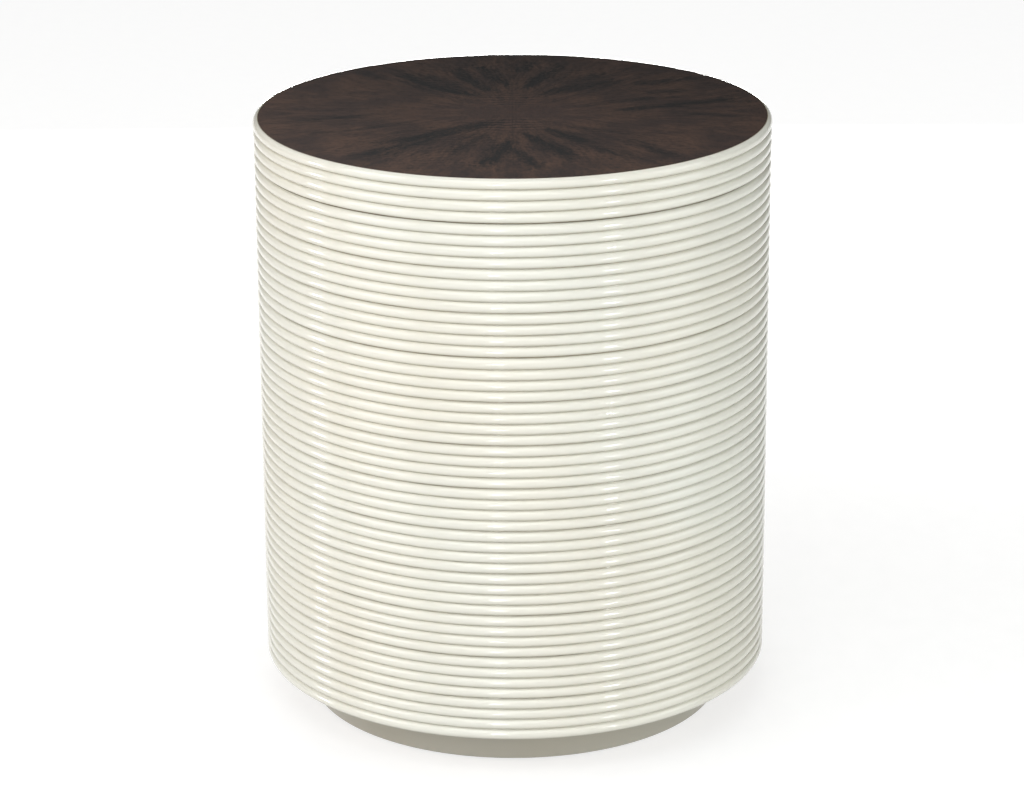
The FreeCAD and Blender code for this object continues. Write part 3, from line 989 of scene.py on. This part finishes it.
@dataclass
class ReededBands(SubAssembly):
    """The stacked reeded bands: half-round beads under lacquer that fills the grooves a little."""

    lacquer: Material
    bead_height: float = 10.55 * MM
    bead_depth: float = 5.0 * MM
    land: float = 0.3 * MM
    rebate: float = 0.9 * MM
    pool_radius: float = 0.25 * MM
    filled_pool: float = 0.50 * MM
    hairline_pool: float = 0.495 * MM
    wave_height: float = 0.40 * MM
    wave_length: float = 0.11
    bead_steps: int = 16
    pool_steps: int = 6
    turn_steps: int = 256
    hairlines: tuple[int, ...] = (1,)
    bands: int = 13

    def node(self, number: int) -> str:
        """Name of a band's node, counted from the top of the table."""
        return "top_reeded_band" if number == 1 else f"reeded_band_{number:02d}"

    def seam_under(self, number: int) -> Seam:
        """Kind of joint under a band."""
        if number == self.bands:
            return Seam.END
        return Seam.HAIRLINE if number in self.hairlines else Seam.FILLED

    def seam_over(self, number: int) -> Seam:
        """Kind of joint over a band."""
        return Seam.TOP_EDGE if number == 1 else self.seam_under(number - 1)

    def pool(self, seam: Seam) -> float:
        """Radius of the lacquer's hollow in a joint."""
        return self.hairline_pool if seam is Seam.HAIRLINE else self.filled_pool

    def beads(self, crest: float, first: float, last: float) -> list[Bead]:
        """The four beads of a band, of which the last takes what height is left.

        Args:
            crest: Radius of their outermost lines.
            first: Height of the lowest edge.
            last: Height of the highest edge.

        Returns:
            The beads from the bottom up.
        """
        heights = [self.bead_height] * 3
        heights.append(last - first - sum(heights))
        made: list[Bead] = []
        for height in heights:
            level = made[-1].level + made[-1].height if made else first
            made.append(Bead(crest, level, height, self.bead_depth))
        return made

    def band(self, number: int) -> Piece:
        """Model one band.

        Args:
            number: Place of the band, counted from the top of the table.

        Returns:
            The band.
        """
        low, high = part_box(self.node(number))
        inner, crest = node_radii(self.node(number))
        under, over = self.seam_under(number), self.seam_over(number)
        last = high.z - (0.0 if over is Seam.TOP_EDGE else self.land)
        beads = self.beads(crest, low.z + self.land, last)
        lathe = Lathe(f"lacquered_{self.node(number)}", (inner, low.z))
        angle = self.enter(lathe, beads[0], low.z, under)
        for bead, following in zip(beads, beads[1:]):
            joint = bead.pool_angle(self.pool_radius, 0.0)
            lathe.arc(bead.centre, angle + joint, self.bead_steps)
            angle = following.pool_angle(self.pool_radius, 0.0)
            pool = (bead.pool_middle(self.pool_radius, 0.0), following.level)
            lathe.arc(pool, -(joint + angle), self.pool_steps)
        self.leave(lathe, beads[-1], angle, high.z, over)
        lathe.line_to(inner, lathe.at[1])
        return lathe.turned(self.turn_steps)

    def enter(self, lathe: Lathe, bead: Bead, bottom: float, seam: Seam) -> float:
        """Draw along the lower joint to the first bead.

        Args:
            lathe: Profile to add to.
            bead: The first bead.
            bottom: Height of the joint.
            seam: Kind of joint.

        Returns:
            Angle below the crest at which the bead starts.
        """
        if seam is Seam.END:
            groove = bead.crest - bead.depth
            lathe.path((groove, bottom), (groove, bead.level))
            return bead.edge_angle
        pool = self.pool(seam)
        angle = bead.pool_angle(pool, self.land)
        middle = bead.pool_middle(pool, self.land)
        lathe.line_to(middle - pool, bottom)
        lathe.arc((middle, bottom), -angle, self.pool_steps // 2)
        return angle

    def leave(self, lathe: Lathe, bead: Bead, angle: float, top: float, seam: Seam) -> None:
        """Draw the last bead and the upper joint.

        Args:
            lathe: Profile to add to.
            bead: The last bead.
            angle: Angle below the crest at which it starts.
            top: Height of the joint.
            seam: Kind of joint.
        """
        if seam is Seam.TOP_EDGE:
            lathe.arc(bead.centre, angle + bead.edge_angle, self.bead_steps)
            lathe.line_to(bead.crest - bead.depth, top - self.rebate)
            return
        pool = self.pool(seam)
        end = bead.pool_angle(pool, self.land)
        lathe.arc(bead.centre, angle + end, self.bead_steps)
        lathe.arc((bead.pool_middle(pool, self.land), top), -end, self.pool_steps // 2)

    def wave(self, piece: Piece, texture: bpy.types.Texture) -> None:
        """Take the machine-straight look off a band with slow, shallow waves.

        Args:
            piece: The band.
            texture: Clouds that give the waves.
        """
        distances = radii(piece)
        limit = min(distances) + self.bead_depth
        outside = [index for index, distance in enumerate(distances) if distance > limit]
        piece.vertex_groups.new(name="face").add(outside, 1.0, "REPLACE")
        modifier = piece.modifiers.new("waves", "DISPLACE")
        modifier.texture = texture
        modifier.texture_coords = "LOCAL"
        modifier.strength = self.wave_height
        modifier.mid_level = 0.5
        modifier.vertex_group = "face"
        apply_modifiers(piece)

    def build(self) -> None:
        """Model every band."""
        texture = bpy.data.textures.new("hand_waves", "CLOUDS")
        texture.noise_scale = self.wave_length
        for number in range(1, self.bands + 1):
            piece = self.band(number)
            self.wave(piece, texture)
            mark_facing(piece)
            self.made.append((piece, self.lacquer, TABLE_BODY, self.node(number), Slot.CREAM_LACQUER))


@dataclass
class Plinth(SubAssembly):
    """The recessed ring that the drum stands on."""

    lacquer: Material
    node: str = "plinth_ring"
    edge: float = 1.5 * MM
    arris: float = 0.5 * MM
    edge_steps: int = 5
    turn_steps: int = 256

    def build(self) -> None:
        """Turn the ring, with an eased lower edge."""
        low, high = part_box(self.node)
        inner, outer = node_radii(self.node)
        lathe = Lathe("lacquered_plinth_ring", (inner, high.z))
        lathe.line_to(inner, low.z + self.arris)
        lathe.arc((inner + self.arris, low.z + self.arris), math.pi / 2, self.edge_steps)
        lathe.line_to(outer - self.edge, low.z)
        lathe.arc((outer - self.edge, low.z + self.edge), math.pi / 2, self.edge_steps)
        lathe.line_to(outer, high.z)
        ring = lathe.turned(self.turn_steps)
        self.made.append((ring, self.lacquer, TABLE_BODY, self.node, Slot.CREAM_LACQUER))


@dataclass
class LevellingGlides(SubAssembly):
    """The four levelling glides: threaded stems that stand in moulded feet."""

    steel: Material
    nylon: Material
    count: int = 4
    stem_root: float = 3.2 * MM
    stem_crest: float = 3.9 * MM
    stem_chamfer: float = 0.8 * MM
    pitch: float = 1.25 * MM
    rim_edge: float = 1.0 * MM
    rim_height: float = 3.2 * MM
    boss_radius: float = 8.0 * MM
    socket_radius: float = 4.0 * MM
    socket_floor: float = 2.0 * MM
    stem_steps: int = 32
    foot_steps: int = 64
    thread_root: float = 0.1 * MM
    thread_flat: float = 0.15 * MM
    thread_half: float = 0.46
    boss_edge: Point = (0.5 * MM, 0.4 * MM)
    edge_steps: int = 5
    slope_steps: int = 4

    def middle(self, node: str) -> Vector:
        """Where a node's axis meets the floor."""
        low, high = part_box(node)
        return Vector(((low.x + high.x) / 2, (low.y + high.y) / 2, 0.0))

    def stem(self) -> Piece:
        """Model a stem on the Z axis: a chamfered core with a thread wound on it.

        Returns:
            The stem.
        """
        low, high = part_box("glide_stem_1")
        core = Lathe("stem_core", (0.0, low.z))
        core.path((self.stem_root, low.z), (self.stem_root, high.z - self.stem_chamfer),
                  (self.stem_crest - self.stem_chamfer, high.z), (0.0, high.z))
        made = core.turned(self.stem_steps)
        inside, half = self.stem_root - self.thread_root, self.thread_half * self.pitch
        ridge = Lathe("stem_thread", (inside, low.z + self.thread_root))
        ridge.path((self.stem_crest, low.z + half), (self.stem_crest, low.z + half + self.thread_flat),
                   (inside, low.z + 2 * half))
        turns = int((high.z - low.z - self.stem_chamfer) / self.pitch) - 1
        combine(made, ridge.wound(self.pitch, turns, self.stem_steps), "UNION")
        return made

    def foot(self) -> Piece:
        """Model a foot on the Z axis: a rounded rim, a sloping boss and the stem's socket.

        Returns:
            The foot.
        """
        low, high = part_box("glide_foot_1")
        rim = (high.x - low.x) / 2
        lathe = Lathe("foot", (0.0, 0.0))
        lathe.line_to(rim - self.rim_edge, 0.0)
        lathe.arc((rim - self.rim_edge, self.rim_edge), math.pi / 2, self.edge_steps)
        lathe.line_to(rim, self.rim_height - self.rim_edge)
        lathe.arc((rim - self.rim_edge, self.rim_height - self.rim_edge), math.pi / 3, self.slope_steps)
        inset, drop = self.boss_edge
        lathe.path((self.boss_radius, high.z - drop), (self.boss_radius - inset, high.z))
        lathe.path((self.socket_radius, high.z), (self.socket_radius, self.socket_floor))
        lathe.line_to(0.0, self.socket_floor)
        return lathe.turned(self.foot_steps, smooth_angle=35.0)

    def build(self) -> None:
        """Model one stem and one foot, and copy them to the four glides."""
        stem, foot = self.stem(), self.foot()
        for number in range(1, self.count + 1):
            place = self.middle(f"glide_foot_{number}")
            body = f"glide_{number}"
            copy = copy_to(stem, f"threaded_stem_{number}", place)
            self.made.append((copy, self.steel, body, f"glide_stem_{number}", Slot.ZINC_STEEL))
            copy = copy_to(foot, f"moulded_foot_{number}", place)
            self.made.append((copy, self.nylon, body, f"glide_foot_{number}", Slot.NYLON))
        bpy.data.objects.remove(stem)
        bpy.data.objects.remove(foot)


class Head(Enum):
    """Head of a wood screw, as its outline from the middle outwards, in shares of head radius and height."""

    PAN = ((0.0, -1.0), (0.54, -0.97), (0.81, -0.80), (0.96, -0.50), (1.0, -0.27), (1.0, 0.0))
    COUNTERSUNK = ((0.0, 0.0), (0.94, 0.0), (1.0, 0.06))


@dataclass
class ScrewSet:
    """Wood screws of one kind, which share a node and all point up.

    Attributes:
        node: Node that they replace.
        head: Shape of the head.
        places: Where each screw's head bears.
        length: Length over the bearing face.
        shank: Radius of the thread's crest.
        head_radius: Radius of the head.
        head_height: Height of the head.
    """

    node: str
    head: Head
    places: Sequence[Vector]
    length: float
    shank: float
    head_radius: float
    head_height: float
    tip: float = 4.0 * MM
    pitch: float = 1.8 * MM
    core_share: float = 0.70
    shoulder: float = 0.4 * MM
    thread_root: float = 0.1 * MM
    thread_shape: tuple[float, float, float] = (0.3, 0.36, 0.6)
    recess_depth: float = 1.5 * MM
    recess_width: float = 0.9 * MM
    recess_span: float = 1.05
    steps: int = 24

    def blank(self) -> Piece:
        """Turn the head, the core and the tip.

        Returns:
            The screw without its thread.
        """
        outline = [(r * self.head_radius, z * self.head_height) for r, z in self.head.value]
        lathe = Lathe("screw_blank", outline[0])
        lathe.path(*outline[1:])
        core = self.shank * self.core_share
        if self.head is Head.COUNTERSUNK:
            lathe.path((self.shank, self.head_height), (core, self.head_height + self.shoulder))
        else:
            lathe.line_to(core, 0.0)
        lathe.path((core, self.length - self.tip), (0.0, self.length))
        return lathe.turned(self.steps, smooth_angle=30.0)

    def thread(self) -> Piece:
        """Wind the thread from the head to the tip.

        Returns:
            The thread.
        """
        start = self.head_height + self.pitch if self.head is Head.COUNTERSUNK else self.pitch
        inside = self.shank * self.core_share - self.thread_root
        rise, flat, fall = [start + share * self.pitch for share in self.thread_shape]
        ridge = Lathe("screw_thread", (inside, start))
        ridge.path((self.shank, rise), (self.shank, flat), (inside, fall))
        turns = int((self.length - self.tip - start) / self.pitch)
        return ridge.wound(self.pitch, turns, self.steps)

    def recess(self, piece: Piece) -> None:
        """Cut the cross recess into the head.

        Args:
            piece: The screw.
        """
        bottom = -self.head_height if self.head is Head.PAN else 0.0
        span = self.head_radius * self.recess_span
        for size in ((span, self.recess_width), (self.recess_width, span)):
            deselect()
            bpy.ops.mesh.primitive_cube_add(size=1.0, location=(0.0, 0.0, bottom))
            cutter = bpy.context.object
            bpy.ops.transform.resize(value=(size[0], size[1], 2 * self.recess_depth))
            bpy.ops.object.transform_apply(location=True, rotation=True, scale=True)
            combine(piece, cutter, "DIFFERENCE")

    def build(self) -> Piece:
        """Model one screw, copy it to every place and join the copies.

        Returns:
            The joined screws.
        """
        screw = self.blank()
        combine(screw, self.thread(), "UNION")
        self.recess(screw)
        copies = [copy_to(screw, f"{self.node}_copy", place) for place in self.places]
        bpy.data.objects.remove(screw)
        return join(copies, f"threaded_{self.node}")


@dataclass
class Fasteners(SubAssembly):
    """Every screw of the table.

    Attributes:
        pan: Shank radius, head radius and head height of a pan-head screw.
        sunk: The same of a countersunk screw.
    """

    steel: Material
    bays: int = 6
    blocks: int = 4
    top_radius: float = 206.4 * MM
    panel_radius: float = 220.4 * MM
    glide_radius: float = 163.7 * MM
    block_spread: float = 23.0 * MM
    pan: tuple[float, float, float] = (2.4 * MM, 4.8 * MM, 3.0 * MM)
    sunk: tuple[float, float, float] = (2.0 * MM, 4.0 * MM, 2.4 * MM)

    def ring(self, radius: float, height: float) -> list[Vector]:
        """One place in each bay between the uprights."""
        turns = [math.tau * bay / self.bays for bay in range(self.bays)]
        return [Vector((radius * math.cos(turn), radius * math.sin(turn), height)) for turn in turns]

    def beside_glides(self, height: float) -> list[Vector]:
        """Two places in each plinth block, one on each side of its glide.

        Args:
            height: Height of the places.

        Returns:
            The places.
        """
        places: list[Vector] = []
        for block in range(self.blocks):
            turn = Matrix.Rotation(math.tau * (block + 0.5) / self.blocks, 3, "Z")
            for side in (-self.block_spread, self.block_spread):
                places.append(turn @ Vector((self.glide_radius, side, height)))
        return places

    def build(self) -> None:
        """Model the three sets of screws."""
        top_low, top_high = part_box("top_screws")
        panel_low, panel_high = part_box("bottom_panel_screws")
        plinth_low, plinth_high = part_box("plinth_screws")
        bearing = top_low.z + self.pan[2]
        sets = (
            ScrewSet("top_screws", Head.PAN, self.ring(self.top_radius, bearing),
                     top_high.z - bearing, *self.pan),
            ScrewSet("bottom_panel_screws", Head.COUNTERSUNK, self.ring(self.panel_radius, panel_low.z),
                     panel_high.z - panel_low.z, *self.sunk),
            ScrewSet("plinth_screws", Head.COUNTERSUNK, self.beside_glides(plinth_low.z),
                     plinth_high.z - plinth_low.z, *self.sunk),
        )
        for screws in sets:
            self.made.append((screws.build(), self.steel, TABLE_BODY, screws.node, Slot.ZINC_STEEL))


@dataclass
class CarriedOver:
    """Nodes of the frame whose shape is right and that only get a finish."""

    rack: dict[Slot, Material]
    bent_plywood: Material

    def dress(self, shown: Sequence[str]) -> None:
        """Give each of these nodes the finish of its slot in the record.

        Args:
            shown: Names of the nodes.
        """
        slots = {part["node"]: Slot(part["material_slot"]) for part in frame["record"]["subparts"]}
        for name in shown:
            material = self.bent_plywood if name.startswith("drum_skin") else self.rack[slots[name]]
            paint(frame["nodes"][name], material)
            LOG.info("%s: %s", name, material.name)


@dataclass
class PhotoCamera:
    """Camera at the photograph's viewing angle, for a frame of 1024 by 791 pixels."""

    lens: float = 119.26
    sensor: float = 36.0
    place: tuple[float, float, float] = (-0.0093, -3.2333, 1.4043)
    pitch: float = 18.766
    yaw: float = -0.130
    roll: float = -0.314

    def build(self) -> None:
        """Add the camera and make it the scene's own."""
        data = bpy.data.cameras.new("photo_camera")
        data.lens = self.lens
        data.sensor_width = self.sensor
        camera = bpy.data.objects.new("photo_camera", data)
        bpy.context.scene.collection.objects.link(camera)
        aim = Matrix.Rotation(math.radians(self.yaw), 4, "Z")
        tilt = Matrix.Rotation(math.radians(90.0 - self.pitch), 4, "X")
        level = Matrix.Rotation(math.radians(self.roll), 4, "Z")
        camera.matrix_world = Matrix.Translation(self.place) @ aim @ tilt @ level
        bpy.context.scene.camera = camera


@dataclass(frozen=True)
class SoftBox:
    """One soft lamp, aimed at the middle of the drum.

    Attributes:
        name: Name of the lamp.
        azimuth: Direction in degrees from the front, positive to the right.
        elevation: Height of its middle over the aim, in degrees.
        distance: Distance from the aim.
        width: Width of its face.
        height: Height of its face.
        power: Power in watts.
        tint: Colour of its light.
    """

    name: str
    azimuth: float
    elevation: float
    distance: float
    width: float
    height: float
    power: float
    tint: Colour

    def build(self, aim: Vector) -> None:
        """Add the lamp.

        Args:
            aim: Place that it points at.
        """
        turn, lift = math.radians(self.azimuth), math.radians(self.elevation)
        away = Vector((math.sin(turn) * math.cos(lift), -math.cos(turn) * math.cos(lift), math.sin(lift)))
        data = bpy.data.lights.new(self.name, "AREA")
        data.shape = "RECTANGLE"
        data.size = self.width
        data.size_y = self.height
        data.energy = self.power
        data.color = self.tint
        lamp = bpy.data.objects.new(self.name, data)
        turned = away.to_track_quat("Z", "Y").to_matrix().to_4x4()
        lamp.matrix_world = Matrix.Translation(aim + away * self.distance) @ turned
        lamp.visible_camera = False
        bpy.context.scene.collection.objects.link(lamp)


@dataclass
class Studio:
    """Plain pale floor, soft lamps and a dim surround."""

    aim: Vector = field(default_factory=lambda: Vector((0.0, 0.0, 0.33)))
    floor_size: float = 60.0
    floor_colour: Colour = (0.42, 0.42, 0.415)
    floor_bounce: Colour = (0.60, 0.59, 0.57)
    floor_glow: Point = (0.68, 0.80)
    glow_reach: Point = (0.4, 1.6)
    lamps: tuple[SoftBox, ...] = (
        SoftBox("high_front_softbox", -12.0, 50.0, 2.1, 1.4, 0.8, 9.2, (0.97, 1.0, 1.0)),
        SoftBox("front_softbox", 0.0, 27.0, 3.2, 2.6, 0.9, 11.5, WHITE),
        SoftBox("left_softbox", -62.0, 28.0, 2.8, 1.4, 1.4, 21.5, (1.0, 0.965, 0.94)),
        SoftBox("right_softbox", 72.0, 18.0, 2.8, 1.4, 1.4, 13.0, (0.95, 1.0, 0.98)),
        SoftBox("left_strip", -90.0, 1.0, 2.3, 0.26, 0.3, 8.0, (1.0, 0.985, 0.96)),
        SoftBox("front_strip", -7.0, 1.0, 2.3, 0.24, 0.3, 6.8, (0.97, 0.99, 1.0)),
        SoftBox("right_strip", 40.0, 1.0, 2.3, 0.20, 0.3, 7.6, (0.95, 0.99, 1.0)),
        SoftBox("back_softbox", 180.0, 60.0, 2.6, 2.0, 1.2, 7.0, (1.0, 0.99, 0.97)),
        SoftBox("back_strip", 180.0, 1.0, 2.3, 1.2, 0.3, 26.0, (1.0, 0.99, 0.97)),
    )
    front_levels: tuple[Point, ...] = (
        (0.0, 0.05), (0.12, 0.08), (0.28, 0.28), (0.42, 0.86), (0.56, 0.86), (0.70, 0.32), (1.0, 0.28))
    back_levels: tuple[Point, ...] = (
        (0.0, 0.01), (0.21, 0.01), (0.225, 0.03), (0.26, 0.21), (0.30, 0.27), (0.45, 0.36), (1.0, 0.30))
    back_sides: Point = (1.40, 0.50)
    back_reach: float = 0.16
    turn_reach: float = 0.35
    grey: Colour = (0.8, 0.8, 0.8)

    def floor(self) -> None:
        """Add the floor, which glows white to the camera and keeps the shadow."""
        deselect()
        bpy.ops.mesh.primitive_plane_add(size=self.floor_size)
        floor = bpy.context.object
        floor.name = "studio_floor"
        graph = Graph("studio_floor")
        path = graph.node("ShaderNodeLightPath").outputs
        mirrored = graph.math("MAXIMUM", path["Is Glossy Ray"], path["Is Transmission Ray"])
        seen = graph.math("MAXIMUM", path["Is Camera Ray"], mirrored)
        grain = graph.noise(graph.coordinates, 40.0, 3.0)
        colour = graph.blend(graph.span(grain, 0.3, 0.7, 0.0, 0.04), self.floor_colour, WHITE)
        colour = graph.blend(seen, self.floor_bounce, colour)
        diffuse = graph.node("ShaderNodeBsdfDiffuse", {"Color": colour})
        level = graph.span(graph.reach(), *self.glow_reach, *self.floor_glow)
        glow = graph.node("ShaderNodeEmission", {"Strength": graph.times(seen, level)})
        both = graph.node("ShaderNodeAddShader", {0: diffuse.outputs[0], 1: glow.outputs[0]})
        graph.output("ShaderNodeOutputMaterial", both)
        paint(floor, graph.owner)

    def ramp(self, graph: Graph, height: Socket, levels: Sequence[Point]) -> Socket:
        """Grey level of the surround over its height.

        Args:
            graph: Node tree of the world.
            height: Height of the direction, from 0 at the horizon to 1 overhead.
            levels: Heights and their levels.

        Returns:
            The level.
        """
        curve = graph.node("ShaderNodeFloatCurve", {"Value": height})
        line = curve.mapping.curves[0]
        top = max(level for _, level in levels)
        line.points[0].location = (levels[0][0], levels[0][1] / top)
        line.points[1].location = (levels[-1][0], levels[-1][1] / top)
        for place, level in levels[1:-1]:
            line.points.new(place, level / top)
        for point in line.points:
            point.handle_type = "VECTOR"
        curve.mapping.update()
        return graph.times(curve.outputs[0], top)

    def surround(self) -> None:
        """Light the scene from all round: a bright band in front, dim behind; the camera sees white."""
        graph = Graph("studio_surround", world=True)
        bpy.context.scene.world = graph.owner
        x, y, z = graph.split(graph.coordinates)
        front = self.ramp(graph, z, self.front_levels)
        slope = graph.span(x, -self.back_reach, self.back_reach, *self.back_sides, smooth=False)
        back = graph.times(self.ramp(graph, z, self.back_levels), slope)
        side = graph.span(y, -self.turn_reach, self.turn_reach)
        level = graph.math("MULTIPLY_ADD", side, graph.math("SUBTRACT", back, front), front)
        light = graph.node("ShaderNodeBackground", {"Color": self.grey, "Strength": level})
        backdrop = graph.node("ShaderNodeBackground", {"Color": WHITE, "Strength": 1.0})
        seen = graph.node("ShaderNodeLightPath").outputs["Is Camera Ray"]
        shown = graph.node("ShaderNodeMixShader", {0: seen, 1: light.outputs[0], 2: backdrop.outputs[0]})
        graph.output("ShaderNodeOutputWorld", shown)

    def build(self) -> None:
        """Set up the floor, the surround and the lamps."""
        self.floor()
        self.surround()
        for lamp in self.lamps:
            lamp.build(self.aim)
        bpy.context.scene.view_settings.view_transform = "Standard"


def main() -> None:
    """Build the table's looks, the studio and the camera."""
    logging.basicConfig(level=logging.INFO, format="%(name)s %(message)s")
    finishes = {
        Slot.CROTCH_VENEER: CrotchVeneer(),
        Slot.CREAM_LACQUER: CreamLacquer(),
        Slot.FIBREBOARD: Fibreboard(),
        Slot.BACKING_VENEER: PlainWood("backing_veneer", (0.42, 0.28, 0.165), (0.29, 0.18, 0.10),
                                       Figure.ALONG_X),
        Slot.PLYWOOD: Plywood("plywood"),
        Slot.POPLAR: PlainWood("poplar", (0.66, 0.585, 0.385), (0.52, 0.45, 0.27), Figure.ALONG_Z),
        Slot.NYLON: Nylon(),
        Slot.ZINC_STEEL: ZincSteel(),
    }
    rack = {slot: finish.material() for slot, finish in finishes.items()}
    lacquer, steel, nylon = rack[Slot.CREAM_LACQUER], rack[Slot.ZINC_STEEL], rack[Slot.NYLON]
    # painted shade: the plinth gets a darker copy of the cream lacquer, for the shade under the drum's
    # overhang
    painted_shade_plinth_lacquer = CreamLacquer((0.50, 0.48, 0.41), (0.485, 0.46, 0.38), name="plinth_lacquer_painted_shade").material()
    replaced: set[str] = set()
    for assembly in (ReededBands(lacquer), Plinth(painted_shade_plinth_lacquer), LevellingGlides(steel, nylon), Fasteners(steel)):
        assembly.build()
        replaced.update(assembly.dress())
    carried = CarriedOver(rack, Plywood("bent_plywood", bent=True).material())
    carried.dress([name for name in frame["nodes"] if name not in replaced])
    Studio().build()
    PhotoCamera().build()


if __name__ == "__main__":
    main()
